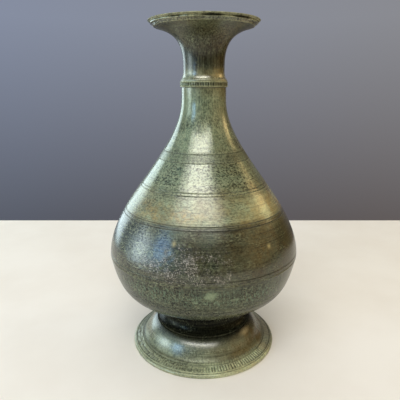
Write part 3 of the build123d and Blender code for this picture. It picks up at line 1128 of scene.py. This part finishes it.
def dark_lines(known, at):
    """Cut lines and struck notches, with the painted shade beside them, as one dark share."""
    # Painted shadow: the hollows at the rim seam darken more where the seam gapes.
    sprung = np.where(known["z"] > lip_height, 0.2 + 0.8 * gaping(known["front"]), 1)
    lines = known["hollow"] * by_height(known["z"], cut_by_height) * sprung * (1 - 0.6 * at.left)
    return np.clip(lines + 1.2 * known["notch"] + painted_shade_lines(known, at), 0, 1)


collar_known = pieces["neck_collar"][1]
collar_dark = dark_lines(collar_known, soft_places(collar_known))
print("dark share of the collar:", round(float(np.mean(collar_dark)), 2))

# %% [markdown]
# Tone and wax
#
# The skin's tone is its patina's own lightness with painted light and shade laid in: some sides are
# kept darker or lighter for how the lamps fall on them, and the inside is painted dark. It shines where
# wax was rubbed in. Lights alone could not give both, because the same light falls on a dull and on a
# waxed place, so tone and wax are shares of their own, changed from side to side.


# %% Lightness and wax at every point
def lightness(known, at):
    """How light the skin is, by height and side, with painted light and shade."""
    # Painted warm light: the olive band lighter at its right; a little darker at its left.
    olive = 1 + at.olive * (0.55 * at.right - 0.15 * at.left)
    # Painted light and shade: the foot's edge lighter at the front right, darker at both sides.
    foot = 1 + at.foot * (0.40 * long_strokes(known) - 0.45 * np.sin(known["front"]) ** 2)
    # Painted shade: the dome darker at its right.
    dome = 1 - 0.50 * at.dome * at.right
    # The upper belly darker at the right; painted shade darkens the bowl at the left.
    belly = (1 - 0.15 * at.upper * at.right) * (1 - 0.25 * at.lower * at.left)
    # Painted shade: the cone darker at the right, the neck darker at its front left.
    cone = (1 - 0.3 * at.cone_right) * (1 - 0.35 * at.rubbed_off)
    # Painted shade: the inside of the bottle much darker.
    tone = by_height(known["z"], tone_by_height) * (1 - 0.75 * at.inner)
    return tone * olive * foot * dome * belly * cone


def waxed(known, at):
    """How much the skin shines, by height and by where wax was rubbed in or off."""
    rubbed = 1 - 0.8 * at.rubbed_off + 0.7 * at.flare * at.left
    rubbed = rubbed * (1 - 0.26 * at.left**2 * at.cone)
    rubbed = rubbed * (1 + 0.15 * at.upper * at.left - 0.4 * at.belly * at.right**2)
    rubbed = rubbed * (1 - 0.7 * at.dome * at.right - 0.12 * at.dome * at.left)
    wax = by_height(known["z"], wax_by_height) * (1 - 0.6 * at.inner) * (1 - 0.95 * at.cone_right)
    return wax * rubbed + 0.4 * at.rim_left


stem_known = pieces["foot_stem"][1]
stem_light = lightness(stem_known, soft_places(stem_known))
print("darkest on the stem:", round(float(stem_light.min()), 3))

# %% [markdown]
# Painting the shares onto the meshes
#
# All shares are written on the points of each mesh under plain names, and the finish reads them
# by name. Image textures could hold them, but points need no unwrapping and the meshes are fine
# enough.


# %% Write the shares on every piece
def paint(piece, known):
    """Writes all painted shares onto a piece's points."""
    at = soft_places(known)
    z = known["z"]
    calm = 1 - 0.55 * at.upper * at.right + 0.6 * at.belly * at.left
    rubbed_edges = known["proud"] * (1 - np.clip(2 * known["notch"], 0, 1))
    dull = by_height(z, dull_by_height) + 0.5 * at.cone_right - 0.5 * at.rim_left
    shares = {
        "tone": lightness(known, at),
        # Brown stain by height; painted warm light on the right side and on the dome's right.
        "warm": by_height(z, warm_by_height) + 0.42 * at.right + 0.5 * at.dome * at.right,
        "dull": np.maximum(dull, at.inner),
        "strokes": by_height(z, strokes_by_height),
        "grit": by_height(z, grit_by_height) * calm + 0.35 * at.olive * at.left + 0.8 * at.dotted,
        "scored": by_height(z, scored_by_height),
        "crust": spots(known, crust_spots),
        # Ochre stains, and one painted warm glow on the dome.
        "ochre": spots(known, ochre_spots),
        "verdigris": spots(known, green_spots),
        "speck": spots(known, pale_specks),
        "streaks": spots(known, streak_spots),
        # Dirt in the cut lines and notches, and painted shade in the joints and grooves.
        "cut": dark_lines(known, at),
        # Edges worn to bare metal, and a painted highlight along the rim's top edge.
        "bare": np.maximum(rubbed_edges * by_height(z, bare_by_height), at.rim_top),
        "wax": waxed(known, at),
    }
    for name, values in shares.items():
        layer = piece.data.attributes.new(name, "FLOAT", "POINT")
        layer.data.foreach_set("value", np.ascontiguousarray(values, dtype=np.float32))
    return list(shares)


for piece, known in pieces.values():
    painted_names = paint(piece, known)
print("painted:", painted_names)

# %% [markdown]
# Mineral skin
#
# Old bronze is metal under a thin mineral skin. One colour would look like plastic, so the skin is
# built from clouds of dark and pale green, a fine mottle, level turning lines on the belly and upright
# rubbing strokes on the neck, with brown and ochre stains. The brown also paints warm light on the
# right side, an ochre patch paints a warm glow on the dome, and the tone share paints light and shade.
# Stretched noise gives the lines, because a wave texture would repeat.

# %% Clouds, lines and stains
turning_lines, rubbing_strokes = (16, 16, 900), (620, 620, 30)
ochre_stain = shade(126, 100, 48)


def mineral_skin(skin, dark, middle, pale, brown_stain_and_light):
    """Skin colour with painted light and shade, and its clouds, mottle and lines for later layers."""
    clouds = skin.patches(0.34, 0.66, 34, 6, 0.62)
    mottle = skin.patches(0.38, 0.62, 420, 4, 0.7, (1, 1, 1.5))
    turned, rubbed = skin.grain(1, 3, 0.7, turning_lines), skin.grain(1, 3, 0.7, rubbing_strokes)
    lines = skin.between(skin.blend(skin.painted("strokes"), turned, rubbed), 0.40, 0.60)
    colour = skin.over(clouds, dark, middle)
    colour = skin.glaze(colour, mottle, 0.35, pale)
    colour = skin.glaze(colour, lines, 0.32, pale)
    stains = skin.patches(0.50, 0.66, 120, 5, 0.7, (1, 1, 2), shift=11)
    colour = skin.glaze(colour, stains, 0.40, tuple(0.5 * part for part in dark))
    # Brown stain, and painted warm light on the right side.
    warmth = skin.times(skin.painted("warm"), skin.patches(0.25, 0.7, 60, 5, 0.65, shift=6))
    colour = skin.over(warmth, colour, brown_stain_and_light)
    # Ochre stains, and a painted warm glow on the dome's right.
    ochre = skin.times(skin.painted("ochre"), skin.patches(0.40, 0.60, 240, 5, 0.75, shift=3))
    colour = skin.glaze(colour, ochre, 0.52, ochre_stain)
    # The tone share paints light and shade into the colour here.
    toned = skin.add("HueSaturation", {"Color": colour, "Value": skin.painted("tone")})
    return toned.outputs[0], clouds, mottle, lines


print("turning lines to the metre:", turning_lines[2])

# %% [markdown]
# Specks and scratches
#
# Close up the skin is peppered with dark specks and pale flecks, scored by level scratches and,
# low on the bowl, streaked with paler green. A scatter of tiny meshes would be far too many, so
# they are fine noise cut at a level, drawn out sideways on the belly and upwards on the neck.

# %% Specks, flecks and scratches
speck_grain = 980
level_grain, upright_grain = (0.5, 0.5, 1.0), (1.0, 1.0, 0.45)
speck_black, scratch_black = shade(12, 13, 9), shade(20, 18, 12)
fleck_pale, stroke_pale = shade(134, 138, 106), shade(120, 120, 88)
streak_green = shade(122, 148, 120)


def speckled(skin, colour, clouds, lines):
    """The colour with specks, flecks, scratches and streaks laid over it, and the specks."""
    upright, grit = skin.painted("strokes"), skin.painted("grit")

    def fine_grain(shift):
        """Fine grain, drawn out sideways on the belly and upwards on the neck."""
        level = skin.grain(speck_grain, 2, 0.6, level_grain, shift)
        return skin.blend(upright, level, skin.grain(speck_grain, 2, 0.6, upright_grain, shift))

    amount = skin.times(grit, skin.blend(clouds, 1.0, 0.55))
    specks = skin.times(skin.between(fine_grain(4), 0.49, 0.55), amount)
    colour = skin.glaze(colour, specks, 0.92, speck_black)
    where = skin.patches(0.42, 0.62, 70, 4, 0.7, (1, 1, 2.2), shift=14)
    amount = skin.times(grit, skin.blend(where, 0.15, 1.0))
    flecks = skin.times(skin.between(fine_grain(8), 0.53, 0.60), amount)
    colour = skin.glaze(colour, flecks, 0.65, fleck_pale)
    colour = skin.glaze(colour, skin.times(lines, upright), 0.16, stroke_pale)
    scratches = skin.patches(0.52, 0.62, 1, 4, 0.7, (7, 7, 480), shift=12)
    colour = skin.glaze(colour, skin.times(scratches, skin.painted("scored")), 0.55, scratch_black)
    streaks = skin.patches(0.50, 0.60, 1, 4, 0.7, (800, 800, 170), shift=1)
    colour = skin.glaze(colour, skin.times(streaks, skin.painted("streaks")), 0.52, streak_green)
    return colour, specks


print("speck features to the metre:", speck_grain)

# %% [markdown]
# Crust, bloom, bare metal and a painted highlight
#
# On top lie the marks of this one bottle: brown crust with pale crumbs, a green bloom, a few yellowish
# specks, edges rubbed to bare metal, a painted highlight along the rim's top edge, and dirt in the
# lines with painted shade beside some of them. They could be laid on just as they were painted, but a
# smooth edge would look airbrushed, so crust, bloom and bare metal are broken up by noise.

# %% Marks over the skin
crust_brown, crumb_pale = shade(40, 34, 29), shade(160, 152, 140)
bloom_green, speck_yellow = shade(132, 146, 114), shade(190, 172, 116)
bare_metal, line_and_shade_black = shade(168, 168, 126), shade(14, 14, 9)


def marked(skin, colour):
    """The colour with its marks laid over it, and the crust, the crumbs and the dark lines."""
    crust = skin.times(skin.painted("crust"), skin.patches(0.40, 0.60, 110, 5, 0.75, shift=7))
    crumbs = skin.sum(skin.times(crust, 0.10), skin.grain(1050, 2, 0.6, shift=2))
    crumbs = skin.times(skin.between(crumbs, 0.58, 0.68), skin.between(crust, 0.05, 0.5))
    colour = skin.glaze(colour, crust, 0.5, crust_brown)
    colour = skin.glaze(colour, crumbs, 0.85, crumb_pale)
    bloom = skin.sum(skin.painted("verdigris"), skin.grain(520, 4, 0.85, shift=5))
    colour = skin.glaze(colour, skin.between(bloom, 0.84, 1.16), 0.75, bloom_green)
    colour = skin.glaze(colour, skin.painted("speck"), 0.7, speck_yellow)
    # Pale worn edges, with a painted highlight on the rim's top edge.
    bare = skin.times(skin.painted("bare"), skin.patches(0.35, 0.6, 350, 3, shift=9))
    colour = skin.glaze(colour, bare, 0.65, bare_metal)
    # Darkens dirty lines and notches, and paints shade beside the collar, seam and foot grooves.
    cut = skin.painted("cut")
    colour = skin.glaze(colour, cut, 0.92, line_and_shade_black)
    return colour, crust, crumbs, cut


print("bare metal as light:", [round(v, 2) for v in bare_metal[:3]])

# %% [markdown]
# The whole bronze finish
#
# The same layers also set the gloss and a shallow bump: wax shines least on specks and in the dark
# lines, and crust, strokes and the dark lines, their painted shade included, are dull. A clear coat
# could stand for the wax, but it would shine evenly, so the wax share drives the strength of the skin's
# own highlights instead.

# %% Bronze in four shades
wax_index = 1.9
bump_strength, bump_height = 0.30, 0.00005


def bronze_patina(name, shades, metal, gloss):
    """Waxed bronze patina in four shades, read together with the painted shares."""
    skin = Finish(name)
    colour, clouds, mottle, lines = mineral_skin(skin, *shades)
    colour, specks = speckled(skin, colour, clouds, lines)
    colour, crust, crumbs, cut = marked(skin, colour)
    skin.set("Base Color", colour)
    skin.set("Metallic", metal)
    skin.set("IOR", wax_index)
    dull = skin.sum(skin.times(skin.painted("dull"), 0.26), skin.times(crust, 0.12))
    dull = skin.sum(dull, skin.times(lines, 0.04))
    dull = skin.sum(dull, skin.times(cut, 0.25))
    skin.set("Roughness", skin.sum(dull, gloss))
    wax = skin.times(skin.painted("wax"), skin.blend(specks, 1.0, 0.55))
    skin.set("Specular IOR Level", skin.times(wax, skin.blend(cut, 1.0, 0.15)))
    relief = skin.sum(skin.times(mottle, 0.3), skin.times(lines, 0.4))
    relief = skin.sum(relief, skin.times(crumbs, 2.0))
    sockets = {"Strength": bump_strength, "Distance": bump_height, "Height": relief}
    skin.set("Normal", skin.add("Bump", sockets).outputs[0])
    return skin.material


# The brown shade also colours the painted warm light on the right side.
# Dark, middle, pale and brown shades, how metallic the skin is and its least roughness.
bronzes = {
    "body_bronze": ((52, 63, 50), (82, 94, 73), (132, 137, 105), (92, 70, 28), 0.15, 0.09),
    "foot_bronze": ((54, 62, 51), (85, 93, 74), (134, 138, 108), (92, 70, 28), 0.15, 0.09),
    "collar_bronze": ((62, 72, 49), (86, 98, 69), (126, 136, 98), (84, 68, 34), 0.30, 0.20),
    "rim_bronze": ((84, 90, 64), (116, 120, 86), (160, 160, 116), (100, 82, 46), 0.30, 0.30),
}
finishes = {}
for name, (*shades, metal, gloss) in bronzes.items():
    finishes[name] = bronze_patina(name, [shade(*colour) for colour in shades], metal, gloss)
print("finishes:", sorted(finishes))

# %% [markdown]
# Solder in the joints
#
# Soft solder fills the laps and shows only as a dull line in an open seam. New meshes could be
# made for it, but the solids have the right shape, so they stay and get a grey that is clouded
# and slightly lumpy. The ring at the foot's edge has taken on the green of its neighbours.


# %% Dull solder
def solder_skin(name, dark, pale):
    """Dull clouded solder between two shades."""
    joint = Finish(name)
    cloud = joint.patches(0.35, 0.65, 500, 4, 0.6)
    joint.set("Base Color", joint.over(cloud, dark, pale))
    joint.set("Roughness", joint.sum(joint.times(cloud, 0.2), 0.5))
    joint.set("Metallic", 0.6)
    bump = joint.add("Bump", {"Strength": 0.3, "Distance": 0.0001, "Height": cloud})
    joint.set("Normal", bump.outputs[0])
    return joint.material


black_solder = solder_skin("black_solder", shade(26, 23, 17), shade(52, 47, 36))
green_solder = solder_skin("green_solder", shade(62, 65, 52), shade(104, 108, 86))
solder_nodes = [name for name in frame["nodes"] if name.endswith("_solder")]
for name in solder_nodes:
    node = frame["nodes"][name]
    node.data.materials.clear()
    node.data.materials.append(green_solder if name == "edge_solder" else black_solder)
print("solder rings:", solder_nodes)

# %% [markdown]
# Standing in for the solids
#
# Each dressed piece takes the place of one solid, gets that solid's finish and rides on the bottle's
# only body. The solids could be hidden by hand; here each is hidden as its piece is put in place.

# %% Put the pieces in place
slot_of = {part["node"]: part["material_slot"] for part in frame["record"]["subparts"]}
for node, (piece, known) in pieces.items():
    piece.data.materials.append(finishes[slot_of[node]])
    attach(piece, "root")
    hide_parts(node)
print("pieces:", sorted(piece.name for piece, known in pieces.values()))

# %% [markdown]
# Sizes
#
# The dressed bottle must not have grown.
